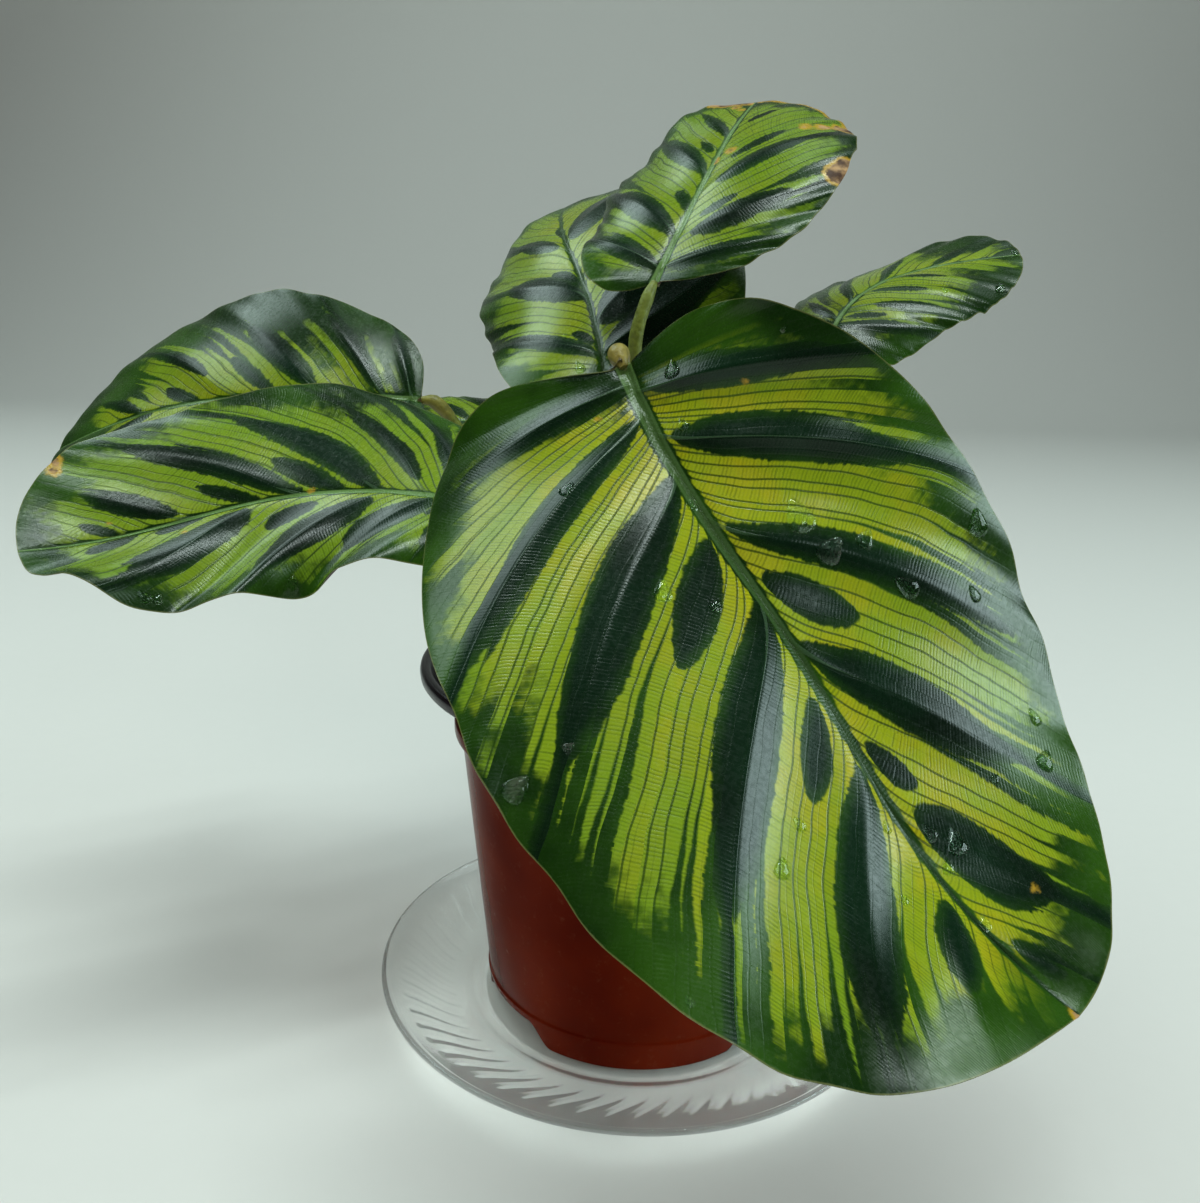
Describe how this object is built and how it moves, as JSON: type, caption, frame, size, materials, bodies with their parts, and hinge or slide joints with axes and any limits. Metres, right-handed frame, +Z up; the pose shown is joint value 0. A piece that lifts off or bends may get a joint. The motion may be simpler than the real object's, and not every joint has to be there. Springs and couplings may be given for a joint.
{
  "type": "potted peacock plant",
  "caption": "Potted foliage plant with patterned oval leaves on slim stalks, set in a dark grow pot inside a tapered outer pot on a clear ribbed plate.",
  "frame": {"origin": "centre of the plate's underside, on the surface it stands on", "axes": "+Z up, -Y towards the front, where the largest leaf hangs over the pot, +X to the right as seen from the front"},
  "size_m": [0.3597, 0.3148, 0.3216],
  "materials": {
    "clear_plastic": "clear, smooth, with pressed ribs",
    "terracotta_plastic": "satin to glossy moulded plastic",
    "dark_plastic": "dark moulded plastic with a worn rim",
    "soil": "damp crumbly potting soil",
    "stalk": "smooth green stalk with a yellow-brown joint",
    "leaf": "waxy green leaf with dark blotches above and purple below"
  },
  "bodies": {
    "root": {"plate": "clear_plastic", "outer_pot": "terracotta_plastic", "grow_pot": "dark_plastic", "soil": "soil", "stalk_front": "stalk", "blade_front": "leaf", "stalk_left": "stalk", "blade_left": "leaf", "stalk_back_left": "stalk", "blade_back_left": "leaf", "stalk_centre": "stalk", "blade_centre": "leaf", "stalk_top": "stalk", "blade_top": "leaf", "stalk_back_right": "stalk", "blade_back_right": "leaf", "stalk_young": "stalk", "blade_young": "leaf"}
  },
  "joints": []
}
